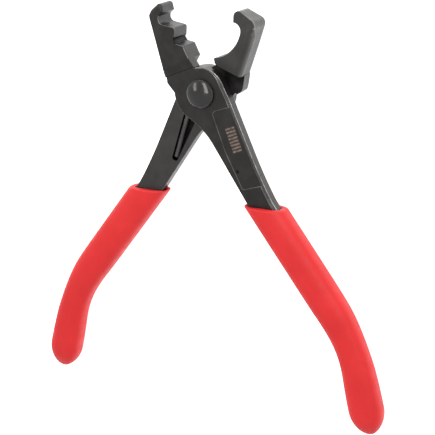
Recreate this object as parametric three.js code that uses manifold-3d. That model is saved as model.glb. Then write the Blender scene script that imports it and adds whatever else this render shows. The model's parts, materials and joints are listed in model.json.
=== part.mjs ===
// Hose clamp pliers with a notched jaw, a hooked jaw, a riveted lap joint, a return spring and dipped grips.
// Millimetres. The pliers lie on their back with the jaws open: +X to the right, +Y towards the jaws, +Z up.
// The origin is on the pivot axis, at the flat rear face of the rivet.
import * as THREE from 'three';
import { mergeVertices } from 'three/addons/utils/BufferGeometryUtils.js';
import Module from 'manifold-3d';

const wasm = await Module();
wasm.setup();

// ---- driving dimensions ----
const GAP = 0.3; // clearance between pieces that touch on the real tool
const MID_GAP = 0.15; // half the clearance between the two laps
const LAP_FACE = 4.3; // outer face of each lap and arm, from the plane where the laps meet
const JAW_HALF = 5.0; // half of the jaws' thickness
const RIVET_REAR = 5.6; // flat end of the rivet, from the plane where the laps meet
const ARC_STEPS = 20; // segments in each curved stretch of an outline

const DISC_R = 9.9; // round top of each lap
const HUB_R = 11.2; // round lower side of each lap
const SHANK_R = 3.5;
const HEAD_R = 5.5;
const HEAD_RISE = 2.2;

const RAMP_TOP = { x: -9.4, y: 10.2 }; // a point on the ramp's upper edge
const RAMP_TURN = rad(-67.3); // downhill
const RAMP_RUN = 2.6;

const WIRE_D = 1.8;
const COIL_R = 5.0; // to the middle of the wire
const COIL_RISE = 1.3; // height of each leg of the spring from the plane where the laps meet
const LEG_LENGTH = 30;
const LEG_LEAN = rad(17); // each leg's lean from the handle side of the Y axis
const GROOVE_FLARE = 3; // each leg's groove widens towards the joint by this much
const GROOVE_FLARE_START = 13; // and is at its widest from here to the coil
const RECESS_R = COIL_R + WIRE_D / 2 + 0.5;
const RECESS_DEPTH = COIL_RISE + WIRE_D / 2 + 0.1;

const MOUTH_Y = -41.3; // the dipped grips start on this line
const MOUTH_X = 25.9; // middle of the grip there
const GRIP_LEAN = rad(36.75);
const GRIP_STRAIGHT = 46;
const GRIP_BEND_R = 69;
const GRIP_END_LEAN = rad(13.3);
const GRIP_LENGTH = 97.5;
const GRIP_HALF_WIDE = 6.85;
const GRIP_HALF_THICK = 5.0;
const WAIST_AT = 63; // the grip narrows a little at its bend
const WAIST_DEPTH = 0.75;
const WAIST_SPREAD = 13;
const GRIP_ROUND_LENGTH = 10.5; // rounded end of the grip
const GRIP_SQUARE = 2.6; // power of the section's super-ellipse
const TANG_LENGTH = 80; // steel inside the grip
const TANG_START_HALF = 4.8;
const TANG_END_HALF = 3.2;
const TANG_ROOM = 0.35; // clearance between the tang and the grip
const OVERRUN = 14; // the grip's bar and its hollow start this far above the mouth, where they are cut off

const STEEL = new THREE.MeshStandardMaterial({ color: 0x2e2d2c, roughness: 0.45, metalness: 0.8 });
const RIVET_STEEL = new THREE.MeshStandardMaterial({ color: 0x262626, roughness: 0.22, metalness: 0.9 });
const SPRING_STEEL = new THREE.MeshStandardMaterial({ color: 0x4a4846, roughness: 0.35, metalness: 0.9 });
const VINYL = new THREE.MeshStandardMaterial({ color: 0xd6221f, roughness: 0.6, metalness: 0.0 });

function rad(degrees) {
  return (degrees * Math.PI) / 180;
}

function onCircle(radius, degrees) {
  return new THREE.Vector2(radius * Math.cos(rad(degrees)), radius * Math.sin(rad(degrees)));
}

// ---- solids ----
function toSolid(geometry) {
  const plain = geometry.index ? geometry.toNonIndexed() : geometry.clone();
  plain.deleteAttribute('normal');
  plain.deleteAttribute('uv');
  const merged = mergeVertices(plain, 1e-4);
  return new wasm.Manifold(new wasm.Mesh({
    numProp: 3,
    vertProperties: new Float32Array(merged.attributes.position.array),
    triVerts: new Uint32Array(merged.index.array),
  }));
}

function toGeometry(solid) {
  const mesh = solid.getMesh();
  const geometry = new THREE.BufferGeometry();
  geometry.setAttribute('position', new THREE.BufferAttribute(mesh.vertProperties, 3));
  geometry.setIndex(new THREE.BufferAttribute(mesh.triVerts, 1));
  geometry.computeVertexNormals();
  return geometry;
}

function slab(shape, bottom, top) {
  const geometry = new THREE.ExtrudeGeometry(shape, {
    depth: top - bottom,
    bevelEnabled: false,
    curveSegments: ARC_STEPS,
  });
  geometry.translate(0, 0, bottom);
  return toSolid(geometry);
}

function drum(radius, bottom, top) {
  const geometry = new THREE.CylinderGeometry(radius, radius, top - bottom, 48);
  geometry.rotateX(Math.PI / 2);
  geometry.translate(0, 0, (top + bottom) / 2);
  return toSolid(geometry);
}

// Half a turn about the Y axis carries the front half's lap, arm and grip onto the rear half's.
function turnedOver(solid) {
  const geometry = toGeometry(solid);
  geometry.rotateY(Math.PI);
  return toSolid(geometry);
}

// ---- the line down the middle of a grip ----
// A straight, a bend and a short straight. Returns the point and the lean at a distance from the mouth.
function gripLine(distance) {
  const bendLength = GRIP_BEND_R * (GRIP_LEAN - GRIP_END_LEAN);
  const first = Math.min(distance, GRIP_STRAIGHT);
  const bent = Math.min(Math.max(distance - GRIP_STRAIGHT, 0), bendLength);
  const last = Math.max(distance - GRIP_STRAIGHT - bendLength, 0);
  const lean = GRIP_LEAN - bent / GRIP_BEND_R;
  const bendX = GRIP_BEND_R * (Math.cos(lean) - Math.cos(GRIP_LEAN));
  const bendY = GRIP_BEND_R * (Math.sin(GRIP_LEAN) - Math.sin(lean));
  return {
    x: MOUTH_X + first * Math.sin(GRIP_LEAN) + bendX + last * Math.sin(lean),
    y: MOUTH_Y - first * Math.cos(GRIP_LEAN) - bendY - last * Math.cos(lean),
    lean,
  };
}

function besideGripLine(distance, offset) {
  const p = gripLine(distance);
  return new THREE.Vector2(p.x + offset * Math.cos(p.lean), p.y + offset * Math.sin(p.lean));
}

// ---- steel halves ----
// The tang's two sides, offset from the grip's line and tapering to a rounded end.
function tangSide(sign, room, start) {
  const steps = 16;
  const points = [];
  for (let i = 0; i <= steps; i += 1) {
    const share = i / steps;
    const distance = start + share * (TANG_LENGTH - start);
    const half = THREE.MathUtils.lerp(TANG_START_HALF, TANG_END_HALF, distance / TANG_LENGTH) + room;
    points.push(besideGripLine(distance, sign * half));
  }
  return points;
}

// Lap, arm and tang of the front half as one outline.
function lapAndArmShape() {
  const shape = new THREE.Shape();
  const top = onCircle(DISC_R, 104);
  shape.moveTo(top.x, top.y);
  shape.absarc(0, 0, DISC_R, rad(104), rad(20), true);
  shape.lineTo(11.6, -1);
  shape.lineTo(19.8, -19.5);
  const outer = tangSide(1, 0, 0);
  shape.quadraticCurveTo(24.4, -30, outer[0].x, outer[0].y);
  outer.slice(1).forEach((p) => shape.lineTo(p.x, p.y));
  const end = gripLine(TANG_LENGTH + TANG_END_HALF);
  const inner = tangSide(-1, 0, 0).reverse();
  shape.quadraticCurveTo(end.x, end.y, inner[0].x, inner[0].y);
  inner.slice(1).forEach((p) => shape.lineTo(p.x, p.y));
  shape.lineTo(5, -19.4);
  shape.quadraticCurveTo(1.2, -13.6, -4.9, -10.07);
  shape.absarc(0, 0, HUB_R, rad(244), rad(184), true);
  shape.lineTo(-13.9, 2.3);
  shape.quadraticCurveTo(-14.5, 3.1, -14.4, 4);
  shape.lineTo(-15.4, 8);
  shape.lineTo(-7.5, 12);
  shape.closePath();
  return shape;
}

// The jaw with a finger, a pocket and two teeth, down to where the lap takes over.
function notchedJawShape() {
  const shape = new THREE.Shape();
  shape.moveTo(-14.6, 4.9);
  shape.lineTo(-20.9, 26.4);
  shape.quadraticCurveTo(-21.4, 29, -19.3, 30.3);
  shape.lineTo(-16.9, 31.7);
  shape.quadraticCurveTo(-15.8, 32.2, -15.6, 31.2);
  shape.lineTo(-15.2, 29.4);
  shape.lineTo(-17, 27.9);
  shape.quadraticCurveTo(-17.3, 25.2, -14.2, 24.95);
  shape.lineTo(-11.4, 24.3);
  shape.quadraticCurveTo(-10.2, 23.9, -10.1, 22.9);
  shape.lineTo(-10.4, 20.4);
  shape.lineTo(-10.9, 19.5);
  shape.lineTo(-10, 18.1);
  shape.lineTo(-6.9, 17.5);
  shape.lineTo(-5.8, 15.2);
  shape.lineTo(-4.6, 12.9);
  shape.lineTo(-6.2, 10.2);
  shape.closePath();
  return shape;
}

// The front layer of that jaw carries on down to the top of the lap.
function jawFootShape() {
  const shape = new THREE.Shape();
  shape.moveTo(-14.2, 4.6);
  shape.lineTo(-15.6, 8.4);
  shape.lineTo(-8, 14);
  shape.lineTo(-4.8, 13.2);
  shape.lineTo(-2.4, 9.75);
  shape.closePath();
  return shape;
}

// The hook: a tight arc under its tip runs into a wide arc down to the ledge beside the joint.
function hookJawShape() {
  const wide = { x: 4.3, y: 26.5, r: 12.5 };
  const tight = { x: 13.53, y: 24.54, r: 3.06 };
  const shape = new THREE.Shape();
  shape.moveTo(15.8, 7.3);
  shape.lineTo(22.3, 25.6);
  shape.quadraticCurveTo(23.1, 27.7, 21.4, 28.8);
  shape.lineTo(16.4, 31.9);
  shape.quadraticCurveTo(14.2, 32.9, 13.8, 30);
  shape.lineTo(13.75, 27.6);
  shape.absarc(tight.x, tight.y, tight.r, rad(86), rad(-12), true);
  shape.absarc(wide.x, wide.y, wide.r, rad(-12), rad(-80.5), true);
  shape.lineTo(5.8, 13.9);
  shape.lineTo(5.7, 11.8);
  shape.lineTo(7.4, 10.6);
  shape.closePath();
  return shape;
}

// The rear layer of the hook jaw carries on down to its lap, with a shoulder on the outer side.
function hookFootShape() {
  const shape = new THREE.Shape();
  shape.moveTo(9.2, 2.4);
  shape.lineTo(12.8, 0.6);
  shape.lineTo(14.4, 1.8);
  shape.quadraticCurveTo(15.1, 2.5, 15, 4);
  shape.lineTo(15.9, 7.6);
  shape.lineTo(12, 12);
  shape.lineTo(5.9, 13.2);
  shape.lineTo(3.4, 9.3);
  shape.closePath();
  return shape;
}

// Sloping cut that brings the notched jaw's face down to its lap, across the jaw's foot.
function rampCut() {
  const reach = 15; // past the lap's top and past both sides of the jaw
  const clear = JAW_HALF + 1;
  const profile = new THREE.Shape();
  profile.moveTo(0, JAW_HALF);
  profile.lineTo(RAMP_RUN, LAP_FACE);
  profile.lineTo(reach, LAP_FACE);
  profile.lineTo(reach, clear);
  profile.lineTo(0, clear);
  profile.closePath();
  const geometry = new THREE.ExtrudeGeometry(profile, { depth: 2 * reach, bevelEnabled: false });
  geometry.translate(0, 0, -reach);
  geometry.rotateX(Math.PI / 2); // the profile's height becomes Z
  geometry.rotateZ(RAMP_TURN);
  geometry.translate(RAMP_TOP.x, RAMP_TOP.y, 0);
  return toSolid(geometry);
}

// Room for the coil and one leg of the spring in the face where the laps meet.
function springRoom() {
  const foot = new THREE.Vector2(-COIL_R * Math.cos(LEG_LEAN), COIL_R * Math.sin(LEG_LEAN));
  const along = new THREE.Vector2(-Math.sin(LEG_LEAN), -Math.cos(LEG_LEAN));
  const across = new THREE.Vector2(Math.cos(LEG_LEAN), -Math.sin(LEG_LEAN));
  const place = (down, side) => foot.clone().addScaledVector(along, down).addScaledVector(across, side);
  const narrow = WIRE_D / 2 + GAP;
  const wide = narrow + GROOVE_FLARE;
  const corners = [
    place(0, -narrow),
    place(LEG_LENGTH, -narrow),
    place(LEG_LENGTH + 1, -narrow / 2),
    place(LEG_LENGTH + 1, narrow / 2),
    place(LEG_LENGTH, narrow),
    place(GROOVE_FLARE_START, wide),
    place(0, wide),
  ];
  const shape = new THREE.Shape(corners);
  return slab(shape, -RECESS_DEPTH, JAW_HALF).add(drum(RECESS_R, -RECESS_DEPTH, JAW_HALF));
}

function makeFrontHalf() {
  const steel = slab(lapAndArmShape(), MID_GAP, LAP_FACE)
    .add(slab(notchedJawShape(), -JAW_HALF, JAW_HALF))
    .add(slab(jawFootShape(), MID_GAP, JAW_HALF));
  return steel
    .subtract(rampCut())
    .subtract(turnedOver(springRoom()))
    .subtract(drum(SHANK_R + GAP, -JAW_HALF, LAP_FACE + 1));
}

function makeRearHalf() {
  return turnedOver(slab(lapAndArmShape(), MID_GAP, LAP_FACE))
    .add(slab(hookJawShape(), -JAW_HALF, JAW_HALF))
    .add(slab(hookFootShape(), -JAW_HALF, -MID_GAP))
    .subtract(springRoom())
    .subtract(drum(SHANK_R + GAP, -JAW_HALF, JAW_HALF));
}

// ---- rivet ----
function makeRivet() {
  const profile = [
    new THREE.Vector2(0, -RIVET_REAR),
    new THREE.Vector2(4.1, -RIVET_REAR),
    new THREE.Vector2(4.9, -RIVET_REAR + 0.5),
    new THREE.Vector2(4.9, -LAP_FACE - GAP),
    new THREE.Vector2(SHANK_R, -LAP_FACE - GAP),
    new THREE.Vector2(SHANK_R, LAP_FACE + GAP),
    new THREE.Vector2(HEAD_R, LAP_FACE + GAP),
  ];
  const rimRise = 0.5;
  const steps = 10;
  for (let i = 0; i < steps; i += 1) {
    const turn = (i / steps) * (Math.PI / 2);
    profile.push(new THREE.Vector2(
      HEAD_R * Math.cos(turn),
      LAP_FACE + GAP + rimRise + (HEAD_RISE - rimRise) * Math.sin(turn),
    ));
  }
  profile.push(new THREE.Vector2(0, LAP_FACE + GAP + HEAD_RISE));
  const geometry = new THREE.LatheGeometry(profile, 48);
  geometry.rotateX(Math.PI / 2);
  return toSolid(geometry);
}

// ---- return spring ----
// One leg lies in each half. Between them the wire winds once and a bit more round the rivet.
class Coil extends THREE.Curve {
  getPoint(t, target = new THREE.Vector3()) {
    const start = Math.PI - LEG_LEAN;
    const angle = start - t * (2 * Math.PI + start - LEG_LEAN);
    return target.set(COIL_R * Math.cos(angle), COIL_R * Math.sin(angle), COIL_RISE * (2 * t - 1));
  }
}

function makeSpring() {
  const coil = new Coil();
  const rearFoot = coil.getPoint(0);
  const frontFoot = coil.getPoint(1);
  const down = LEG_LENGTH * Math.cos(LEG_LEAN);
  const out = LEG_LENGTH * Math.sin(LEG_LEAN);
  const path = new THREE.CurvePath();
  path.add(new THREE.LineCurve3(new THREE.Vector3(rearFoot.x - out, rearFoot.y - down, rearFoot.z), rearFoot));
  path.add(coil);
  path.add(new THREE.LineCurve3(frontFoot, new THREE.Vector3(frontFoot.x + out, frontFoot.y - down, frontFoot.z)));
  const section = new THREE.Shape();
  section.absarc(0, 0, WIRE_D / 2, 0, 2 * Math.PI, false);
  const geometry = new THREE.ExtrudeGeometry(section, {
    steps: 84,
    curveSegments: 4,
    bevelEnabled: false,
    extrudePath: path,
  });
  return toSolid(geometry);
}

// ---- dipped grips ----
function gripHalfWidth(distance) {
  const waist = WAIST_DEPTH * Math.exp(-(((distance - WAIST_AT) / WAIST_SPREAD) ** 2));
  const half = GRIP_HALF_WIDE - waist;
  const left = GRIP_LENGTH - distance;
  if (left >= GRIP_ROUND_LENGTH) return half;
  const into = 1 - left / GRIP_ROUND_LENGTH;
  return half * Math.sqrt(Math.max(1 - into * into, 0));
}

function superEllipse(angle) {
  const power = 2 / GRIP_SQUARE;
  const c = Math.cos(angle);
  const s = Math.sin(angle);
  return {
    wide: Math.sign(c) * Math.abs(c) ** power,
    thick: Math.sign(s) * Math.abs(s) ** power,
  };
}

// A round bar whose section is squared, swelled and carried along the grip's line.
function gripBar() {
  const start = -OVERRUN;
  const stations = 36;
  const profile = [new THREE.Vector2(0, start)];
  for (let i = 0; i < stations; i += 1) {
    const share = i / stations;
    profile.push(new THREE.Vector2(1, start + (GRIP_LENGTH - start) * Math.sin((share * Math.PI) / 2)));
  }
  profile.push(new THREE.Vector2(0, GRIP_LENGTH));
  const geometry = new THREE.LatheGeometry(profile, 24);
  const position = geometry.attributes.position;
  for (let i = 0; i < position.count; i += 1) {
    const radius = Math.hypot(position.getX(i), position.getZ(i));
    const distance = position.getY(i);
    const ring = superEllipse(Math.atan2(position.getZ(i), position.getX(i)));
    const half = gripHalfWidth(distance);
    const p = besideGripLine(distance, radius * half * ring.wide);
    const thick = radius * GRIP_HALF_THICK * (half / GRIP_HALF_WIDE) * ring.thick;
    position.setXYZ(i, p.x, p.y, (LAP_FACE + MID_GAP) / 2 - thick);
  }
  return toSolid(geometry);
}

function tangRoom() {
  const outer = tangSide(1, TANG_ROOM, -OVERRUN);
  const inner = tangSide(-1, TANG_ROOM, -OVERRUN).reverse();
  const end = gripLine(TANG_LENGTH + TANG_END_HALF + 2 * TANG_ROOM);
  const shape = new THREE.Shape();
  shape.moveTo(outer[0].x, outer[0].y);
  outer.slice(1).forEach((p) => shape.lineTo(p.x, p.y));
  shape.quadraticCurveTo(end.x, end.y, inner[0].x, inner[0].y);
  inner.slice(1).forEach((p) => shape.lineTo(p.x, p.y));
  shape.closePath();
  return slab(shape, MID_GAP - TANG_ROOM, LAP_FACE + TANG_ROOM);
}

// The dip stops on a straight line across both handles, whatever their lean.
function makeFrontGrip() {
  const above = new THREE.BoxGeometry(80, 40, 40);
  above.translate(MOUTH_X, MOUTH_Y + 20, 0);
  return gripBar().subtract(toSolid(above)).subtract(tangRoom());
}

// ---- assembly ----
const tool = new THREE.Group();
tool.position.z = RIVET_REAR;

function addPiece(name, solid, material) {
  const mesh = new THREE.Mesh(toGeometry(solid), material);
  mesh.name = name;
  tool.add(mesh);
}

addPiece('front_half', makeFrontHalf(), STEEL);
addPiece('rear_half', makeRearHalf(), STEEL);
addPiece('pivot_rivet', makeRivet(), RIVET_STEEL);
addPiece('return_spring', makeSpring(), SPRING_STEEL);
addPiece('front_grip', makeFrontGrip(), VINYL);
addPiece('rear_grip', turnedOver(makeFrontGrip()), VINYL);

const part = new THREE.Group();
part.add(tool);
export default part;
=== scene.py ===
"""Hose clamp pliers in black steel with red dipped grips, lying on their back.

Lengths here are millimetres in tool coordinates. The origin is on the pivot axis, in the plane where
the two laps meet. +X is to the right, +Y towards the jaws and +Z out of the front face. place() carries
a finished mesh into the frame.
"""

import json
import math

import bmesh
import bpy
from mathutils import Matrix, Vector


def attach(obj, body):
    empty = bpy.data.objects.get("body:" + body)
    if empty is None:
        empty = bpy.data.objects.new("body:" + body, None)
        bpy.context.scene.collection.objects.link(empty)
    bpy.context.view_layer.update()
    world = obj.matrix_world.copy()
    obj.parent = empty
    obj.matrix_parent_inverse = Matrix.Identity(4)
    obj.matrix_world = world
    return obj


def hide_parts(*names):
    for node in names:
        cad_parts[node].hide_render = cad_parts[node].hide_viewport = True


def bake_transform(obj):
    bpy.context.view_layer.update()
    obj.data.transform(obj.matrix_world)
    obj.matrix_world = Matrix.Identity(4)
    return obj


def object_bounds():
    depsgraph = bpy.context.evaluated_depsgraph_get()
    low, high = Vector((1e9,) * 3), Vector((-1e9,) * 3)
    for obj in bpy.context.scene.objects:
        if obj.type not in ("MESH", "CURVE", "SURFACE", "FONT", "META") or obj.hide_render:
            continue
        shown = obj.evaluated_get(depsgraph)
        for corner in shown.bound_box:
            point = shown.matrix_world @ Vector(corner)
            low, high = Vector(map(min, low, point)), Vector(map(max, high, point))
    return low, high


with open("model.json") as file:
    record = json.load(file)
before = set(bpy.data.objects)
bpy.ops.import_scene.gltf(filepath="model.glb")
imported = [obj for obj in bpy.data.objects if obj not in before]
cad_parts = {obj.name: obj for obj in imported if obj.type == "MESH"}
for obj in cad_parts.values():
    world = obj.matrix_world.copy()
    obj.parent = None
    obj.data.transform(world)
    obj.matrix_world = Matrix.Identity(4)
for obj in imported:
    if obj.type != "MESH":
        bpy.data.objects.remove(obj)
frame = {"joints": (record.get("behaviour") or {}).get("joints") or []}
cad_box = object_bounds()

MM = 0.001
PIVOT = Vector(frame["joints"][0]["pos_m"])

# ---- driving dimensions: the steel halves ----
MID_GAP = 0.08
LAP_FACE = 4.3
JAW_HALF = 5.0
DISC_R = 9.9
HUB_R = 11.2
LAND_WIDTH = 1.1  # the shallow chamfer on the outer side of lap and arm
LAND_DROP = 0.35
LAND_STARTS = 75  # degrees round the lap where the chamfer begins
LAND_FULL = 25  # and where it has its full width
PANEL_DEPTH = 0.1
PANEL_BORDER = 0.3
DIMPLE_X = 15.3
DIMPLE_Y = -28.5
DIMPLE_R = 0.65
DIMPLE_DEPTH = 0.6

# ---- driving dimensions: rounded edges, their worn steel that is lighter as painted highlight, and the steel that paints shade ----
EDGE = 0.2  # rounding of ordinary edges
EDGE_BOW = 0.3  # how far a rounding's middle stands in, as a share of its radius
FINGER_RIM = 0.8  # what the tip of the notched jaw is rounded beyond that
BROAD = 3.4  # rounding of the hook's outside at its front
BACK_RIM = 0.6  # rounding of the hook's outside at its back
TIP_RIM = 1.9  # rounding of the back of the hook's tip
HIGHLIT_RIM_LIMIT = 0.5  # roundings narrower than this take the worn steel, lighter as a painted highlight
FRONT_CUT_ROUNDING = 0.14  # on the edges that cuts leave in the front half
REAR_CUT_ROUNDING = 0.07
CUT_ANGLE = math.radians(14)  # edges sharper than this are cut edges
PLAIN, WORN_HIGHLIT, SHADE = 0, 1, 2  # material slots of the steel halves: plain, worn and lighter as painted highlight, and nearly black as painted shade
SAME_POINT = 0.0002  # points closer than this are one
SAME_PLANE = math.radians(0.02)  # faces that differ by less than this are one
FLATNESS = 1e-6  # a face whose corners are further off its plane is split

# ---- driving dimensions: the rivet ----
SHANK_R = 3.5
SHANK_ROOM = 0.05  # between the rivet and the laps
TAIL_R = 4.9  # the rivet's head at the back
HEAD_R = 5.6
HEAD_RIM = 0.5
HEAD_RISE = 2.8

# ---- driving dimensions: the return spring and its room ----
WIRE_R = 0.9
COIL_R = 5.0
COIL_RISE = 1.3
LEG_LENGTH = 30.0
LEG_LEAN = math.radians(17)
LEG_ROOM = 0.3
LEG_END_ROOM = 1.2
GROOVE_FLARE = 3.0
GROOVE_FLARE_START = 13.0
GROOVE_CORNER_R = 1.0
COIL_ROOM = 0.5
COIL_DEPTH_ROOM = 0.1
RECESS_R = COIL_R + WIRE_R + COIL_ROOM
RECESS_DEPTH = COIL_RISE + WIRE_R + COIL_DEPTH_ROOM

# ---- driving dimensions: the grips and the steel inside them ----
MOUTH_Y = -41.3
MOUTH_X = 25.9
GRIP_LEAN = math.radians(36.75)
GRIP_STRAIGHT = 46.0
GRIP_BEND_R = 69.0
GRIP_END_LEAN = math.radians(13.3)
GRIP_LENGTH = 97.5
GRIP_HALF_WIDE = 6.85
GRIP_HALF_THICK = 5.0
GRIP_MIDDLE = (LAP_FACE + MID_GAP) / 2  # height of a grip's middle
WAIST_AT = 63.0
WAIST_DEPTH = 0.75
WAIST_SPREAD = 13.0
GRIP_ROUND_LENGTH = 10.5
GRIP_ROUND_POWER = 0.6  # 0.5 would make the end of the grip an ellipse
GRIP_SQUARE = 2.6  # power of the grip's section, which would be an ellipse at 2
HOLLOW_SQUARE = 7  # and of its hollow, which is nearly a rectangle
HOLLOW_ROOM = 0.4
LIP_LENGTH = 0.9  # rounding at the mouth
LIP_INWARD = 0.4
MOUTH_SLANT_LENGTH = 30  # the mouth's slant dies out over this length
TANG_LENGTH = 80.0
TANG_START_HALF = 4.9
TANG_END_HALF = 3.2
TANG_SHIFT = -0.5  # the steel sits off the middle of the grip, towards the inside of the tool


# ---- outlines ----
def arc(cx, cy, radius, start, end):
    """Points along an arc, with its angles in degrees."""
    count = max(4, int(abs(end - start) * radius / 25) + 4)
    angles = [math.radians(start + (end - start) * i / count) for i in range(count + 1)]
    return [(cx + radius * math.cos(a), cy + radius * math.sin(a)) for a in angles]


def corner_arc(before, corner, after, radius):
    """Points that round a corner between two straight sides."""
    here = Vector(corner)
    u = (Vector(before) - here).normalized()
    v = (Vector(after) - here).normalized()
    half = u.angle(v) / 2
    centre = here + (u + v).normalized() * radius / math.sin(half)
    first = here + u * radius / math.tan(half) - centre
    last = here + v * radius / math.tan(half) - centre
    turn = first.angle_signed(last)
    count = max(2, int(math.degrees(abs(turn)) / 10))
    points = []
    for i in range(count + 1):
        a = -turn * i / count
        c, s = math.cos(a), math.sin(a)
        points.append((centre.x + first.x * c - first.y * s, centre.y + first.x * s + first.y * c))
    return points


def bowed(start, end, rise, count=16):
    """Points along a side that bows out to its right by rise."""
    way = Vector(end) - Vector(start)
    out = Vector((way.y, -way.x)).normalized()
    points = []
    for i in range(count + 1):
        t = i / count
        p = Vector(start) + way * t + out * rise * 4 * t * (1 - t)
        points.append((p.x, p.y))
    return points


def outline(corners):
    """A closed outline through its corners. A third number is the radius that rounds a corner."""
    points = []
    for i, corner in enumerate(corners):
        if len(corner) == 2:
            points.append(corner)
        else:
            before = corners[i - 1][:2]
            after = corners[(i + 1) % len(corners)][:2]
            points += corner_arc(before, corner[:2], after, corner[2])
    area = sum(a[0] * b[1] - b[0] * a[1] for a, b in zip(points, points[1:] + points[:1]))
    return points if area > 0 else points[::-1]


# ---- the line down the middle of a grip ----
def grip_line(distance):
    """Point and lean at a distance from the mouth: a straight, a bend and a short straight."""
    bend_length = GRIP_BEND_R * (GRIP_LEAN - GRIP_END_LEAN)
    first = min(distance, GRIP_STRAIGHT)
    bent = min(max(distance - GRIP_STRAIGHT, 0), bend_length)
    last = max(distance - GRIP_STRAIGHT - bend_length, 0)
    lean = GRIP_LEAN - bent / GRIP_BEND_R
    bend_x = GRIP_BEND_R * (math.cos(lean) - math.cos(GRIP_LEAN))
    bend_y = GRIP_BEND_R * (math.sin(GRIP_LEAN) - math.sin(lean))
    x = MOUTH_X + first * math.sin(GRIP_LEAN) + bend_x + last * math.sin(lean)
    y = MOUTH_Y - first * math.cos(GRIP_LEAN) - bend_y - last * math.cos(lean)
    return x, y, lean


def beside_grip_line(distance, offset):
    x, y, lean = grip_line(distance)
    return x + offset * math.cos(lean), y + offset * math.sin(lean)


def tang_half(distance):
    share = max(distance, 0) / TANG_LENGTH
    return TANG_START_HALF + (TANG_END_HALF - TANG_START_HALF) * share


def tang_side(sign):
    steps = 20
    distances = [TANG_LENGTH * i / steps for i in range(steps + 1)]
    return [beside_grip_line(d, sign * tang_half(d) + TANG_SHIFT) for d in distances]


def curve_to(start, control, end, steps=8):
    """Points of a quadratic curve, without its two ends."""
    points = []
    for i in range(1, steps):
        t = i / steps
        a, b, c = (1 - t) ** 2, 2 * t * (1 - t), t**2
        points.append(tuple(a * s + b * m + c * e for s, m, e in zip(start, control, end)))
    return points


def lap_and_arm():
    outer, inner = tang_side(1), tang_side(-1)[::-1]
    end = beside_grip_line(TANG_LENGTH + TANG_END_HALF, TANG_SHIFT)
    hub = arc(0, 0, HUB_R, 244, 184)
    return outline([
        *arc(0, 0, DISC_R, 104, 20),
        (11.6, -1, 4),
        (19.8, -19.5),
        *curve_to((19.8, -19.5), (24.4, -30), outer[0]),
        *outer,
        *curve_to(outer[-1], end, inner[0]),
        *inner,
        (5, -19.4),
        *curve_to((5, -19.4), (1.2, -13.6), hub[0]),
        *hub,
        (-13.9, 2.3),
        *curve_to((-13.9, 2.3), (-14.5, 3.1), (-14.4, 4)),
        (-14.4, 4),
        (-15.4, 8),
        (-7.5, 12),
    ])


def notched_jaw():
    return outline([
        (-14.6, 4.9),
        (-21.5, 29.0, 3.4),
        (-16.1, 33.65, 1.3),
        (-15.2, 29.4, 0.3),
        (-17.0, 27.9, 0.4),
        (-17.3, 25.2, 2.0),
        (-10.15, 23.95, 1.0),
        (-10.4, 20.4, 0.4),
        (-10.9, 19.5, 0.3),
        (-10, 18.1, 0.4),
        (-6.9, 17.5, 0.4),
        (-5.8, 15.2, 0.4),
        (-4.6, 12.9, 0.4),
        (-6.2, 10.2),
    ])


def notched_jaw_foot():
    return outline([(-14.2, 4.6), (-15.6, 8.4), (-8, 14), (-4.8, 13.2), (-2.4, 9.75)])


def hook_jaw():
    return outline([
        *bowed((14.3, 3.0), (22.1, 25.5), 0.14),
        (22.85, 27.85, 2.5),
        (13.87, 33.6, 2.1),
        *arc(13.53, 24.54, 3.06, 86, -12),
        *arc(4.3, 26.5, 12.5, -12, -80.5)[1:],
        (5.8, 13.9, 0.3),
        (5.7, 11.8),
        (6.0, 9.5),
    ])


def under_hook():
    """The space in front of the lap below the hook jaw's ledge."""
    return [(2, 12), (5.7, 11.8), (7.4, 10.6), (15.8, 7.3), (21, 5.25), (21, -2), (2, -2)]


def hook_jaw_foot():
    return outline([
        (9.2, 2.0),
        (13.1, 0.1),
        (15.0, 1.5, 1),
        (15.6, 4, 1),
        (16.1, 7.6),
        (12, 12),
        (5.9, 13.2),
        (3.4, 9.3),
    ])


# ---- mesh tools ----
def new_piece(name, bm):
    """An object from a bmesh, which it uses up."""
    bmesh.ops.recalc_face_normals(bm, faces=bm.faces)
    mesh = bpy.data.meshes.new(name)
    bm.to_mesh(mesh)
    bm.free()
    piece = bpy.data.objects.new(name, mesh)
    bpy.context.scene.collection.objects.link(piece)
    for steel in (PLAIN_STEEL, WORN_HIGHLIT_STEEL, SHADE_STEEL):
        mesh.materials.append(bpy.data.materials[steel[0]])
    return piece


def smoothstep(low, high, value):
    t = min(max((value - low) / (high - low), 0), 1)
    return t * t * (3 - 2 * t)


def inset_points(points, width_at):
    """The outline moved inwards at each point by the width there."""
    moved = []
    for i, (x, y) in enumerate(points):
        along = (Vector(points[(i + 1) % len(points)]) - Vector(points[i - 1])).normalized()
        width = width_at(x, y)
        moved.append((x - along.y * width, y + along.x * width))
    return moved


def loft(loops, name="cutter", worn=lambda k, i: False):
    """A closed solid through loops of points, with a flat face at each end.

    worn says whether the face between loops k and k + 1 that ends at point i takes the worn steel,
    which is lighter as a painted highlight.
    """
    bm = bmesh.new()
    rings = [[bm.verts.new(p) for p in loop] for loop in loops]
    bm.faces.new(rings[0])
    bm.faces.new(rings[-1])
    for k, (low, high) in enumerate(zip(rings, rings[1:])):
        for i in range(len(low)):
            face = bm.faces.new((low[i - 1], low[i], high[i], high[i - 1]))
            face.material_index = WORN_HIGHLIT if worn(k, i) else PLAIN
    bmesh.ops.triangulate(bm, faces=[face for face in bm.faces if warped(face)])
    return new_piece(name, bm)


def warped(face):
    """Whether a face with four corners isn't flat."""
    corner = face.verts[0].co
    face.normal_update()
    off_plane = [abs((v.co - corner).dot(face.normal)) > FLATNESS for v in face.verts]
    return len(face.verts) == 4 and any(off_plane)


def prism(points, bottom, top, name="cutter"):
    return loft([[(x, y, z) for x, y in points] for z in (bottom, top)], name)


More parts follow.
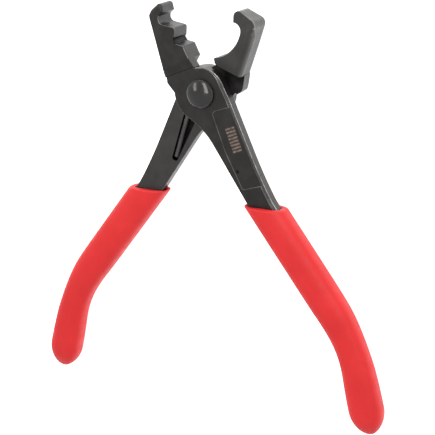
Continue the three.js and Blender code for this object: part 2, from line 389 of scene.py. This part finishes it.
def slab(points, bottom, top, low_rim, high_rim, name="cutter", steps=8):
    """A slab whose two rims are rounded. Each rim is a function that gives the radius at a point."""
    loops = []
    for rim, level, way in ((low_rim, bottom, 1), (high_rim, top, -1)):
        side = []
        for k in range(steps + 1):
            turn = k / steps * math.pi / 2
            moved = inset_points(points, lambda x, y: rim(x, y) * (1 - math.sin(turn)))
            rise = 1 - math.cos(turn)
            side.append([(x, y, level + way * rim(*p) * rise) for (x, y), p in zip(moved, points)])
        loops += side if way > 0 else side[::-1]

    # Narrow roundings take the worn steel, lighter as a painted highlight.
    def worn(k, i):
        rim = low_rim if k < steps else high_rim
        return k != steps and rim(*points[i]) < HIGHLIT_RIM_LIMIT

    return loft(loops, name, worn)


def settle(piece):
    """Applies the modifiers of a piece."""
    depsgraph = bpy.context.evaluated_depsgraph_get()
    finished = bpy.data.meshes.new_from_object(piece.evaluated_get(depsgraph))
    piece.modifiers.clear()
    rough = piece.data
    piece.data = finished
    bpy.data.meshes.remove(rough)


def combine(piece, tool, operation):
    step = piece.modifiers.new("combine", "BOOLEAN")
    step.operation = operation
    step.solver = "EXACT"
    step.object = tool
    settle(piece)
    bpy.data.objects.remove(tool)


def merge_flats(piece):
    """Joins the faces that lie in one plane."""
    bm = bmesh.new()
    bm.from_mesh(piece.data)
    bmesh.ops.remove_doubles(bm, verts=bm.verts, dist=SAME_POINT)
    bmesh.ops.dissolve_limit(
        bm, angle_limit=SAME_PLANE, verts=bm.verts, edges=bm.edges, delimit={"MATERIAL"}
    )
    bm.to_mesh(piece.data)
    bm.free()


def bevel_cuts(piece, width):
    """A fine worn rounding on the edges that the cuts left sharp, lighter as a painted highlight."""
    bm = bmesh.new()
    bm.from_mesh(piece.data)
    layer = bm.edges.layers.float.new("bevel_weight_edge")
    for edge in bm.edges:
        if len(edge.link_faces) == 2 and edge.is_convex and edge.calc_face_angle() > CUT_ANGLE:
            edge[layer] = all(face.material_index == PLAIN for face in edge.link_faces)
    bm.to_mesh(piece.data)
    bm.free()
    step = piece.modifiers.new("bevel", "BEVEL")
    step.limit_method = "WEIGHT"
    step.width = width
    step.segments = 2
    step.material = WORN_HIGHLIT
    settle(piece)


def smooth(piece, sharp_above=13, sharp_above_in_rounding=40):
    """Smooth shading, with flats kept flat. Edges above an angle, in degrees, stay sharp."""
    bm = bmesh.new()
    bm.from_mesh(piece.data)
    for face in bm.faces:
        face.smooth = True
    for edge in bm.edges:
        in_rounding = any(face.material_index == WORN_HIGHLIT for face in edge.link_faces)
        limit = sharp_above_in_rounding if in_rounding else sharp_above
        edge.smooth = len(edge.link_faces) == 2 and edge.calc_face_angle() < math.radians(limit)
    bm.to_mesh(piece.data)
    bm.free()
    step = piece.modifiers.new("flats", "WEIGHTED_NORMAL")
    step.keep_sharp = True
    step.weight = 80
    settle(piece)


def place(piece):
    """Carries a mesh from tool coordinates into the frame."""
    piece.data.transform(Matrix.Translation(PIVOT) @ Matrix.Scale(MM, 4))
    piece.data.update()


def turned_over(piece):
    """Half a turn about the Y axis, which swaps the front half's shapes for the rear half's."""
    piece.data.transform(Matrix.Diagonal((-1, 1, -1, 1)))
    return piece


# ---- steel halves ----
def land_width(x, y):
    """Width of the shallow chamfer that runs from the lap's top down the outer side of the arm."""
    outer_side = x * -MOUTH_Y + y * MOUTH_X > 0
    angle = math.degrees(math.atan2(y, x))
    return LAND_WIDTH * smoothstep(LAND_STARTS, LAND_FULL, angle) if outer_side else 0


def make_lap_and_arm(name):
    """The lap and arm of the front half. A shallow chamfer on its outer side has two worn edges; these
    and the back edge are lighter as a painted highlight.
    """
    back_edge, back_bow = 0.15, 0.04
    face_edge = 0.04
    points = lap_and_arm()

    def loop(inset, share_of_land, level):
        moved = inset_points(points, lambda x, y: inset + share_of_land * land_width(x, y))
        return [(x, y, level) for x, y in moved]

    shoulder = LAP_FACE - LAND_DROP
    # bands of worn steel, lighter as a painted highlight
    worn_highlit_bands = (0, 1, 3, 4, 6)
    return loft([
        loop(back_edge, 0, MID_GAP),
        loop(back_bow, 0, MID_GAP + back_bow),
        loop(0, 0, MID_GAP + back_edge),
        loop(0, 0, shoulder - EDGE),
        loop(EDGE * EDGE_BOW, 0, shoulder - EDGE * EDGE_BOW),
        loop(EDGE, 0, shoulder),
        loop(EDGE * 1.1, 0.9, LAP_FACE - face_edge),
        loop(EDGE * 1.6, 1, LAP_FACE),
    ], name, lambda k, i: k in worn_highlit_bands)


def below_line(a, b, slope, reach=30):
    """A cutter for all that stands above a slope, which leaves the jaw's face on the line a to b.

    The slope's corners are given as the way downhill, to the right of the line, and the drop. After the
    last corner it stays level.
    """
    along = (Vector(b) - Vector(a)).normalized()
    downhill = Vector((along.y, -along.x))
    section = [(0, JAW_HALF)] + [(run, JAW_HALF - drop) for run, drop in slope]
    section += [(reach, section[-1][1]), (reach, JAW_HALF + 2), (0, JAW_HALF + 2)]
    bm = bmesh.new()
    ends = []
    for side in (-reach, reach):
        start = Vector(a) + along * side
        places = [start + downhill * d for d, _ in section]
        ends.append([bm.verts.new((p.x, p.y, z)) for p, (_, z) in zip(places, section)])
    bm.faces.new(ends[0])
    bm.faces.new(ends[1])
    for i in range(len(section)):
        bm.faces.new((ends[0][i - 1], ends[0][i], ends[1][i], ends[1][i - 1]))
    return new_piece("cutter", bm)


def painted_shade(cutter):
    """Marks the faces that a cutter leaves with the nearly black steel, as painted shade in the recess.
    """
    for face in cutter.data.polygons:
        face.material_index = SHADE
    return cutter


def spring_room():
    """Room for one leg of the spring in the face where the laps meet."""
    foot = Vector((-COIL_R * math.cos(LEG_LEAN), COIL_R * math.sin(LEG_LEAN)))
    along = Vector((-math.sin(LEG_LEAN), -math.cos(LEG_LEAN)))
    across = Vector((math.cos(LEG_LEAN), -math.sin(LEG_LEAN)))
    narrow = WIRE_R + LEG_ROOM
    wide = narrow + GROOVE_FLARE
    end = LEG_LENGTH + LEG_END_ROOM
    offsets = [
        (0, -narrow),
        (end, -narrow, GROOVE_CORNER_R),
        (end, narrow, GROOVE_CORNER_R),
        (GROOVE_FLARE_START, wide),
        (0, wide),
    ]
    corners = []
    for down, side, *radius in offsets:
        p = foot + along * down + across * side
        corners.append((p.x, p.y, *radius))
    return prism(outline(corners), -RECESS_DEPTH, JAW_HALF)


def drum(radius, bottom, top, x=0, y=0):
    return prism(arc(x, y, radius, 0, 360)[:-1], bottom, top)


def panel():
    """The shallow panel in the front arm's face, with a sloping, rubbed border that is lighter as a
    painted highlight.
    """
    floor = outline([
        (4.6, -6.6, 1.5),
        (13.0, -3.7),
        (20.4, -20.0),
        (24.4, -27.2),
        (26.4, -32.4),
        (17.4, -35.2, 0.8),
        (10.2, -21.2),
    ])
    above = inset_points(floor, lambda x, y: -PANEL_BORDER)
    return loft([
        [(x, y, LAP_FACE - PANEL_DEPTH) for x, y in floor],
        [(x, y, LAP_FACE + PANEL_DEPTH) for x, y in above],
    ], "cutter", lambda k, i: True)


def shade_notch_floor(jaw):
    """The floor of the notched jaw's small notch takes the nearly black steel, as painted shade under
    the tooth above.
    """
    for face in jaw.data.polygons:
        if -11.2 < face.center.x < -9.9 and 17.9 < face.center.y < 20.5:
            face.material_index = SHADE


def make_front_half():
    def finger_rim(x, y):
        """Wider at the tip of the notched jaw."""
        return EDGE + FINGER_RIM * smoothstep(28, 30, y)

    steel = make_lap_and_arm("front_steel")
    jaw = slab(notched_jaw(), -JAW_HALF, JAW_HALF, finger_rim, finger_rim)
    shade_notch_floor(jaw)
    combine(steel, jaw, "UNION")
    combine(steel, prism(notched_jaw_foot(), MID_GAP, JAW_HALF), "UNION")
    ramp_and_step = [(2.7, 0.35), (2.95, 0.7)]
    combine(steel, below_line((-14.8, 8), (-4, 12.5), ramp_and_step), "DIFFERENCE")
    # The spring's groove and recess are lined with nearly black steel, as painted shade.
    combine(steel, painted_shade(turned_over(spring_room())), "DIFFERENCE")
    combine(steel, painted_shade(turned_over(drum(RECESS_R, -RECESS_DEPTH, JAW_HALF))), "DIFFERENCE")
    combine(steel, drum(SHANK_R, -JAW_HALF, JAW_HALF + 1), "DIFFERENCE")
    combine(steel, panel(), "DIFFERENCE")
    dimple = drum(DIMPLE_R, LAP_FACE - DIMPLE_DEPTH, LAP_FACE + 1, DIMPLE_X, DIMPLE_Y)
    combine(steel, dimple, "DIFFERENCE")
    merge_flats(steel)
    bevel_cuts(steel, FRONT_CUT_ROUNDING)
    smooth(steel)
    return steel


def make_rear_half():
    below_lap = 0.02
    side_lean = 0.31

    def outer_side(x, y):
        """1 on the hook's outside above the arm, and 0 on its inside."""
        return smoothstep(11.6, 13.2, x - y * side_lean) * smoothstep(3.5, 6.5, y)

    def front_rim(x, y):
        """Broad on the outside, up to the hook's top corner."""
        return EDGE + (BROAD - EDGE) * outer_side(x, y) * smoothstep(26.5, 22.5, y)

    def back_rim(x, y):
        """Wider along the top than on the outside."""
        along_top = smoothstep(28.3, 30.5, y) * smoothstep(21.5, 18.5, x)
        top_rim = TIP_RIM + smoothstep(15.5, 17.5, x)
        return EDGE + max((BACK_RIM - EDGE) * outer_side(x, y), (top_rim - EDGE) * along_top)

    steel = turned_over(make_lap_and_arm("rear_steel"))
    combine(steel, slab(hook_jaw(), -JAW_HALF, JAW_HALF, back_rim, front_rim), "UNION")
    combine(steel, prism(hook_jaw_foot(), -JAW_HALF, -MID_GAP), "UNION")
    # The space below the hook and the spring's groove and recess get nearly black steel, as painted
    # shade.
    combine(steel, painted_shade(prism(under_hook(), -MID_GAP - below_lap, JAW_HALF + 1)), "DIFFERENCE")
    combine(steel, below_line((6.5, 14.4), (14.3, 11.2), [(3.6, 1.6)]), "DIFFERENCE")
    combine(steel, painted_shade(spring_room()), "DIFFERENCE")
    combine(steel, painted_shade(drum(RECESS_R, -RECESS_DEPTH, JAW_HALF)), "DIFFERENCE")
    combine(steel, drum(SHANK_R, -JAW_HALF, JAW_HALF), "DIFFERENCE")
    merge_flats(steel)
    bevel_cuts(steel, REAR_CUT_ROUNDING)
    smooth(steel)
    return steel


# ---- rivet ----
def lathe(profile, steps, name):
    """A closed turned shape from (radius, height) points that start and end on the axis."""
    turns = [2 * math.pi * i / steps for i in range(steps)]
    bm = bmesh.new()
    rings = []
    for radius, height in profile:
        if radius == 0:
            rings.append([bm.verts.new((0, 0, height))])
        else:
            circle = [(radius * math.cos(a), radius * math.sin(a), height) for a in turns]
            rings.append([bm.verts.new(p) for p in circle])
    for low, high in zip(rings, rings[1:]):
        for i in range(steps):
            if len(low) == 1:
                bm.faces.new((low[0], high[i], high[i - 1]))
            elif len(high) == 1:
                bm.faces.new((low[i - 1], low[i], high[0]))
            else:
                bm.faces.new((low[i - 1], low[i], high[i], high[i - 1]))
    return new_piece(name, bm)


def make_rivet():
    """A low dome at the front, a shank and a flat head at the back, which reaches down to the floor."""
    floor = -PIVOT.z / MM
    back = -LAP_FACE - SHANK_ROOM
    base = LAP_FACE + SHANK_ROOM
    profile = [
        (0, floor),
        (TAIL_R - 0.6, floor),
        (TAIL_R - 0.15, floor + 0.2),
        (TAIL_R, floor + 0.55),
        (TAIL_R, back),
        (SHANK_R - SHANK_ROOM, back),
        (SHANK_R - SHANK_ROOM, base),
        (HEAD_R - 0.25, base),
        (HEAD_R, base + 0.2),
    ]
    steps = 16
    for i in range(steps):
        turn = (i / steps) * math.pi / 2
        height = base + HEAD_RIM + (HEAD_RISE - HEAD_RIM) * math.sin(turn)
        profile.append((HEAD_R * math.cos(turn), height))
    profile.append((0, base + HEAD_RISE))
    rivet = lathe(profile, 72, "rivet")
    smooth(rivet, 30)
    return rivet


# ---- return spring ----
def spring_path():
    """Points down the middle of the wire: up one leg, round the coil and down the other leg."""
    start = math.pi - LEG_LEAN
    sweep = 2 * math.pi + start - LEG_LEAN
    lean_x, lean_y = math.sin(LEG_LEAN), math.cos(LEG_LEAN)
    foot = Vector((COIL_R * math.cos(start), COIL_R * math.sin(start), -COIL_RISE))
    leg_steps, coil_steps = 12, 96
    points = []
    for i in range(leg_steps):
        left = LEG_LENGTH * (1 - i / leg_steps)
        points.append(foot - Vector((lean_x, lean_y, 0)) * left)
    for i in range(coil_steps + 1):
        t = i / coil_steps
        angle = start - t * sweep
        height = COIL_RISE * (2 * t - 1)
        points.append(Vector((COIL_R * math.cos(angle), COIL_R * math.sin(angle), height)))
    for i in range(1, leg_steps + 1):
        down = LEG_LENGTH * i / leg_steps
        points.append(Vector((-foot.x + lean_x * down, foot.y - lean_y * down, COIL_RISE)))
    return points


def make_spring():
    """The wire as a tube whose two ends are rounded over."""
    path = spring_path()
    sides = 20
    tips = [(0.0, 0.55), (0.12, 0.85), (0.35, 1.0)]  # way in from the end and share of the radius
    bm = bmesh.new()
    rings = []
    first = (path[1] - path[0]).normalized()
    last = (path[-2] - path[-1]).normalized()
    stations = [(path[0] + first * d, -first, r) for d, r in tips]
    for before, here, after in zip(path, path[1:], path[2:]):
        stations.append((here, (before - after).normalized(), 1.0))
    stations += [(path[-1] + last * d, last, r) for d, r in reversed(tips)]
    for centre, along, share in stations:
        side = along.cross(Vector((0, 0, 1))).normalized()
        up = side.cross(along)
        ring = []
        for i in range(sides):
            a = 2 * math.pi * i / sides
            ring.append(bm.verts.new(centre + (side * math.cos(a) + up * math.sin(a)) * WIRE_R * share))
        rings.append(ring)
    for low, high in zip(rings, rings[1:]):
        for i in range(sides):
            bm.faces.new((low[i - 1], low[i], high[i], high[i - 1]))
    bm.faces.new(rings[0])
    bm.faces.new(rings[-1])
    spring = new_piece("spring", bm)
    smooth(spring, 50)
    return spring


# ---- dipped grips ----
def grip_half_width(distance):
    waist = WAIST_DEPTH * math.exp(-(((distance - WAIST_AT) / WAIST_SPREAD) ** 2))
    half = GRIP_HALF_WIDE - waist
    left = GRIP_LENGTH - distance
    if left >= GRIP_ROUND_LENGTH:
        return half
    into = 1 - left / GRIP_ROUND_LENGTH
    return half * max(1 - into * into, 0) ** GRIP_ROUND_POWER


def ring_shape(angle, power):
    """A point of a section between an ellipse and a rectangle, on a scale of -1 to 1."""
    c, s = math.cos(angle), math.sin(angle)
    return math.copysign(abs(c) ** (2 / power), c), math.copysign(abs(s) ** (2 / power), s)


def grip_point(angle, distance, inward):
    """A point on the grip. inward runs from 0 on its skin to 1 on its hollow, where the steel goes."""
    wide, thick = ring_shape(angle, GRIP_SQUARE)
    half = grip_half_width(distance)
    skin = Vector((half * wide, GRIP_HALF_THICK * half / GRIP_HALF_WIDE * thick))
    wide, thick = ring_shape(angle, HOLLOW_SQUARE)
    hollow_half = tang_half(distance) + HOLLOW_ROOM
    hollow = Vector((hollow_half * wide + TANG_SHIFT, (LAP_FACE / 2 + HOLLOW_ROOM) * thick))
    across = skin.lerp(hollow, inward)
    start = across.x * math.tan(GRIP_LEAN) * max(0, 1 - distance / MOUTH_SLANT_LENGTH)
    x, y = beside_grip_line(distance + start, across.x)
    return Vector((x, y, GRIP_MIDDLE + across.y))


def grip_rings():
    """Distance from the mouth and inward for each ring, from the grip's end into its hollow."""
    end_steps, body_steps, lip_steps, hollow_steps = 16, 56, 6, 16
    body_end = GRIP_LENGTH - GRIP_ROUND_LENGTH
    rings = []
    for i in range(1, end_steps):
        turn = i / end_steps * math.pi / 2
        rings.append((GRIP_LENGTH - GRIP_ROUND_LENGTH * (1 - math.cos(turn)), 0))
    for i in range(body_steps):
        rings.append((body_end * (1 - i / body_steps) + LIP_LENGTH * i / body_steps, 0))
    for i in range(lip_steps + 1):
        turn = i / lip_steps * math.pi / 2
        rings.append((LIP_LENGTH * (1 - math.sin(turn)), LIP_INWARD * (1 - math.cos(turn))))
    rings += [(0.0, 0.7), (0.05, 0.88), (0.25, 0.97), (0.6, 1.0), (3.0, 1.0)]
    rings += [(TANG_LENGTH * i / hollow_steps, 1.0) for i in range(1, hollow_steps + 1)]
    return rings


def make_grip(name):
    sides = 72
    turns = [2 * math.pi * i / sides for i in range(sides)]
    bm = bmesh.new()
    tip = bm.verts.new((*beside_grip_line(GRIP_LENGTH, 0), GRIP_MIDDLE))
    loops = [[bm.verts.new(grip_point(a, d, inward)) for a in turns] for d, inward in grip_rings()]
    for i in range(sides):
        bm.faces.new((tip, loops[0][i], loops[0][i - 1]))
    for low, high in zip(loops, loops[1:]):
        for i in range(sides):
            bm.faces.new((low[i - 1], low[i], high[i], high[i - 1]))
    hollow_end = beside_grip_line(TANG_LENGTH + TANG_END_HALF, TANG_SHIFT)
    end = bm.verts.new((*hollow_end, GRIP_MIDDLE))
    for i in range(sides):
        bm.faces.new((end, loops[-1][i - 1], loops[-1][i]))
    grip = new_piece(name, bm)
    smooth(grip, 60)
    return grip


# ---- materials ----
# Each steel has its name, its dark and light colour, its roughness at the least and the most, and
# sometimes its relief.
PLAIN_STEEL = ("front_black_steel", (0.021, 0.0198, 0.019), (0.031, 0.0293, 0.028), 0.30, 0.42)
# The rubbed steel is worn and lighter than the plain, as a painted highlight on edges.
WORN_HIGHLIT_STEEL = ("worn_highlit_black_steel", (0.10, 0.097, 0.093), (0.26, 0.255, 0.245), 0.22, 0.34)
# The oily steel is nearly black, as painted shade in recesses.
SHADE_STEEL = ("painted_shade_black_steel", (0.004, 0.004, 0.004), (0.022, 0.021, 0.02), 0.4, 0.6)
REAR_STEEL = ("rear_black_steel", (0.038, 0.0365, 0.035), (0.052, 0.050, 0.048), 0.30, 0.42)
RIVET_STEEL = ("rivet_steel", (0.034, 0.033, 0.032), (0.05, 0.049, 0.048), 0.10, 0.16, 0.05)
SPRING_WIRE = ("spring_wire", (0.06, 0.059, 0.057), (0.1, 0.098, 0.095), 0.3, 0.4)
# A low IOR dims the oily steel's reflection, as part of its painted shade.
SHADE_IOR = 1.2
VINYL_DEEP = (0.56, 0.013, 0.014)
VINYL_LIGHT = (0.63, 0.018, 0.019)

# ---- the etched patch, in metres from the pivot ----
PATCH_PLACE = Vector((0.0136, -0.0163, LAP_FACE * MM))
PATCH_TURN = math.radians(21)
PATCH_SIZE = (0.0042, 0.0105, 0.0004)
PATCH_BROWN = (0.23, 0.17, 0.14, 1)


def shader(name):
    material = bpy.data.materials.new(name)
    material.use_nodes = True
    nodes, links = material.node_tree.nodes, material.node_tree.links
    return material, nodes, links, nodes["Principled BSDF"]


def noise(nodes, links, scale, detail):
    """Noise in the piece's own coordinates, with its scale per metre."""
    place_in = nodes.new("ShaderNodeTexCoord")
    texture = nodes.new("ShaderNodeTexNoise")
    texture.inputs["Scale"].default_value = scale
    texture.inputs["Detail"].default_value = detail
    links.new(place_in.outputs["Object"], texture.inputs["Vector"])
    return texture.outputs["Fac"]


def ramp(nodes, links, value, stops):
    """Colours or greys by a value. Each stop is a place and a colour."""
    node = nodes.new("ShaderNodeValToRGB")
    elements = node.color_ramp.elements
    while len(elements) < len(stops):
        elements.new(0.5)
    for element, (at, colour) in zip(elements, stops):
        element.position = at
        element.color = (*colour, 1)
    links.new(value, node.inputs["Fac"])
    return node.outputs["Color"]


def grey(level):
    return (level, level, level)


def bump(nodes, links, height, distance, strength, under=None):
    """Fine relief on top of the relief under it."""
    node = nodes.new("ShaderNodeBump")
    node.inputs["Strength"].default_value = strength
    node.inputs["Distance"].default_value = distance
    links.new(height, node.inputs["Height"])
    if under:
        links.new(under, node.inputs["Normal"])
    return node.outputs["Normal"]


def shade_hollows(nodes, links, colour):
    """The colour, darkened in a piece's own hollows by its ambient occlusion, as painted shade."""
    reach = 4 * MM
    hollows = nodes.new("ShaderNodeAmbientOcclusion")
    hollows.only_local = True
    hollows.samples = 8
    hollows.inputs["Distance"].default_value = reach
    mix = nodes.new("ShaderNodeMixRGB")
    mix.blend_type = "MULTIPLY"
    mix.inputs["Fac"].default_value = 1
    links.new(colour, mix.inputs["Color1"])
    # painted shade: the occlusion turns the colour nearly black in the hollows
    hollow_shade = ramp(nodes, links, hollows.outputs["AO"], [(0.3, grey(0.05)), (0.85, grey(1))])
    links.new(hollow_shade, mix.inputs["Color2"])
    return mix.outputs["Color"]


def steel_material(name, dark, light, rough_low, rough_high, relief=0.25):
    """Blackened steel in patches of a dark and a light colour, with smudges of oil."""
    material, nodes, links, bsdf = shader(name)
    patches = noise(nodes, links, 160, 5)
    colour = ramp(nodes, links, patches, [(0.35, dark), (0.68, light)])
    # The base colour carries painted shade in the piece's own hollows.
    links.new(shade_hollows(nodes, links, colour), bsdf.inputs["Base Color"])
    smudges = noise(nodes, links, 420, 6)
    rough = ramp(nodes, links, smudges, [(0.3, grey(rough_low)), (0.7, grey(rough_high))])
    links.new(rough, bsdf.inputs["Roughness"])
    grain = bump(nodes, links, noise(nodes, links, 5200, 3), 0.00004, relief)
    waves = bump(nodes, links, noise(nodes, links, 260, 2), 0.0002, relief, grain)
    links.new(waves, bsdf.inputs["Normal"])
    bsdf.inputs["Metallic"].default_value = 0.5
    bsdf.inputs["IOR"].default_value = 1.5
    return material


def math_node(nodes, links, operation, first, second):
    """The result of an operation on two values."""
    node = nodes.new("ShaderNodeMath")
    node.operation = operation
    links.new(first, node.inputs[0])
    links.new(second, node.inputs[1])
    return node.outputs["Value"]


def etched_bars(material):
    """A faint brown patch of etched bars in the face of the front arm."""
    nodes, links = material.node_tree.nodes, material.node_tree.links
    bsdf = nodes["Principled BSDF"]
    plain = bsdf.inputs["Base Color"].links[0].from_socket
    place_in = nodes.new("ShaderNodeTexCoord")
    patch = nodes.new("ShaderNodeMapping")
    patch.vector_type = "TEXTURE"
    patch.inputs["Location"].default_value = PIVOT + PATCH_PLACE
    patch.inputs["Rotation"].default_value = (0, 0, PATCH_TURN)
    patch.inputs["Scale"].default_value = PATCH_SIZE
    links.new(place_in.outputs["Object"], patch.inputs["Vector"])
    parts = nodes.new("ShaderNodeSeparateXYZ")
    links.new(patch.outputs["Vector"], parts.inputs["Vector"])
    mask = None
    for axis in ("X", "Y", "Z"):
        size = nodes.new("ShaderNodeMath")
        size.operation = "ABSOLUTE"
        links.new(parts.outputs[axis], size.inputs[0])
        inside = ramp(nodes, links, size.outputs["Value"], [(0.44, grey(1)), (0.5, grey(0))])
        mask = math_node(nodes, links, "MULTIPLY", mask, inside) if mask else inside
    bars = nodes.new("ShaderNodeTexWave")
    bars.bands_direction = "Y"
    bars.inputs["Scale"].default_value = 2.6
    bars.inputs["Distortion"].default_value = 0.4
    links.new(patch.outputs["Vector"], bars.inputs["Vector"])
    lines = ramp(nodes, links, bars.outputs["Fac"], [(0.35, grey(0.15)), (0.6, grey(1))])
    worn = ramp(nodes, links, noise(nodes, links, 900, 3), [(0.3, grey(0.3)), (0.6, grey(1))])
    whole = math_node(nodes, links, "MULTIPLY", mask, lines)
    amount = math_node(nodes, links, "MULTIPLY", whole, worn)
    mix = nodes.new("ShaderNodeMixRGB")
    links.new(amount, mix.inputs["Fac"])
    links.new(plain, mix.inputs["Color1"])
    mix.inputs["Color2"].default_value = PATCH_BROWN
    links.new(mix.outputs["Color"], bsdf.inputs["Base Color"])


def vinyl_material():
    material, nodes, links, bsdf = shader("red_vinyl")
    patches = noise(nodes, links, 90, 4)
    colour = ramp(nodes, links, patches, [(0.3, VINYL_DEEP), (0.7, VINYL_LIGHT)])
    links.new(colour, bsdf.inputs["Base Color"])
    smudges = noise(nodes, links, 300, 4)
    rough = ramp(nodes, links, smudges, [(0.3, grey(0.46)), (0.7, grey(0.6))])
    links.new(rough, bsdf.inputs["Roughness"])
    grain = bump(nodes, links, noise(nodes, links, 2600, 4), 0.0001, 0.4)
    swell = bump(nodes, links, noise(nodes, links, 120, 2), 0.0005, 0.2, grain)
    links.new(swell, bsdf.inputs["Normal"])
    bsdf.inputs["IOR"].default_value = 1.42
    bsdf.inputs["Subsurface Weight"].default_value = 0.08
    bsdf.inputs["Subsurface Scale"].default_value = 0.002
    return material


# ---- the object ----
def finish_piece(piece, body, nodes, material=None):
    """Carries a piece into the frame. A piece other than the steel halves has one material."""
    place(piece)
    if material:
        piece.data.materials.clear()
        piece.data.materials.append(material)
    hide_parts(*nodes)
    if body:
        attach(piece, body)


def make_object():
    etched_bars(steel_material(*PLAIN_STEEL))
    # rubbed steel: lighter, as a painted highlight on edges; oily steel: nearly black and less
    # reflective, as painted shade
    steel_material(*WORN_HIGHLIT_STEEL)
    painted_shade_steel = steel_material(*SHADE_STEEL)
    painted_shade_steel.node_tree.nodes["Principled BSDF"].inputs["IOR"].default_value = SHADE_IOR
    rear_steel = steel_material(*REAR_STEEL)
    rivet_steel = steel_material(*RIVET_STEEL)
    wire = steel_material(*SPRING_WIRE)
    vinyl = vinyl_material()
    finish_piece(make_front_half(), "front", ["front_half"])
    rear_half = make_rear_half()
    rear_half.data.materials[0] = rear_steel
    finish_piece(rear_half, "rear", ["rear_half"])
    finish_piece(make_rivet(), "front", ["pivot_rivet"], rivet_steel)
    spring = make_spring()
    finish_piece(spring, None, ["return_spring"], wire)
    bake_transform(spring)
    finish_piece(make_grip("front_dip"), "front", ["front_grip"], vinyl)
    finish_piece(turned_over(make_grip("rear_dip")), "rear", ["rear_grip"], vinyl)


# ---- stage ----
CAMERA_AZIMUTH = 26.22  # degrees to the right of the tool's front, with the jaws up
CAMERA_ELEVATION = 17.99
CAMERA_TURN = -0.33
CAMERA_OFFSET = Vector((4.43, -47.37, 488.8))  # right, up and back from the pivot
CAMERA_LENS = 107.6
FLOOR_HALF = 4.0  # metres
FLOOR_BELOW = 0.0002
FLOOR_GLOW = 0.9
SKY_LOW = 0.95
SKY_HIGH = 0.6
SOFTBOX_DISTANCE = 0.6


def make_camera():
    camera = bpy.data.objects.new("camera", bpy.data.cameras.new("camera"))
    camera.data.lens = CAMERA_LENS
    camera.data.sensor_width = 36
    camera.data.clip_start = 0.01
    turn = Matrix.Rotation(math.radians(CAMERA_TURN), 4, "Z")
    turn @= Matrix.Rotation(math.radians(CAMERA_AZIMUTH), 4, "Y")
    turn @= Matrix.Rotation(math.radians(-CAMERA_ELEVATION), 4, "X")
    camera.matrix_world = Matrix.Translation(PIVOT) @ turn @ Matrix.Translation(CAMERA_OFFSET * MM)
    bpy.context.scene.collection.objects.link(camera)
    bpy.context.scene.camera = camera


def softbox(name, direction, long_way, width, height, radiance):
    """A rectangular light that faces the pivot from a direction, with its height along long_way."""
    light = bpy.data.lights.new(name, "AREA")
    light.shape = "RECTANGLE"
    light.size, light.size_y = width, height
    light.energy = radiance * math.pi * width * height
    holder = bpy.data.objects.new(name, light)
    way = Vector(direction).normalized()
    holder.location = PIVOT + way * SOFTBOX_DISTANCE
    up = Vector(long_way)
    up = (up - up.project(way)).normalized()
    holder.rotation_euler = Matrix((up.cross(way), up, way)).transposed().to_euler()
    bpy.context.scene.collection.objects.link(holder)


def make_floor():
    bm = bmesh.new()
    level = cad_box[0].z - FLOOR_BELOW
    corners = [(-1, -1), (1, -1), (1, 1), (-1, 1)]
    bm.faces.new([bm.verts.new((x * FLOOR_HALF, y * FLOOR_HALF, level)) for x, y in corners])
    floor = new_piece("floor", bm)
    material, _, _, bsdf = shader("pale_floor")
    bsdf.inputs["Base Color"].default_value = (0.8, 0.8, 0.8, 1)
    bsdf.inputs["Roughness"].default_value = 0.9
    bsdf.inputs["Emission Color"].default_value = (1, 1, 1, 1)
    bsdf.inputs["Emission Strength"].default_value = FLOOR_GLOW
    floor.data.materials.clear()
    floor.data.materials.append(material)


def make_sky():
    """A world that is brightest at the horizon and below it."""
    world = bpy.data.worlds.new("studio")
    world.use_nodes = True
    background = world.node_tree.nodes["Background"]
    nodes, links = world.node_tree.nodes, world.node_tree.links
    parts = nodes.new("ShaderNodeSeparateXYZ")
    links.new(nodes.new("ShaderNodeTexCoord").outputs["Generated"], parts.inputs["Vector"])
    sky = ramp(nodes, links, parts.outputs["Z"], [(0.0, grey(SKY_LOW)), (0.75, grey(SKY_HIGH))])
    links.new(sky, background.inputs["Color"])
    bpy.context.scene.world = world


def make_stage():
    make_floor()
    make_sky()
    softbox("front_box", (0.18, 0.46, 0.84), (-0.21, 0.85, -0.47), 0.23, 0.7, 6.0)
    softbox("left_box", (-0.63, 0.32, 0.70), (-0.13, 0.86, -0.5), 0.12, 0.4, 5.0)
    bpy.context.scene.view_settings.view_transform = "Standard"


make_object()
make_camera()
make_stage()

bpy.context.view_layer.update()
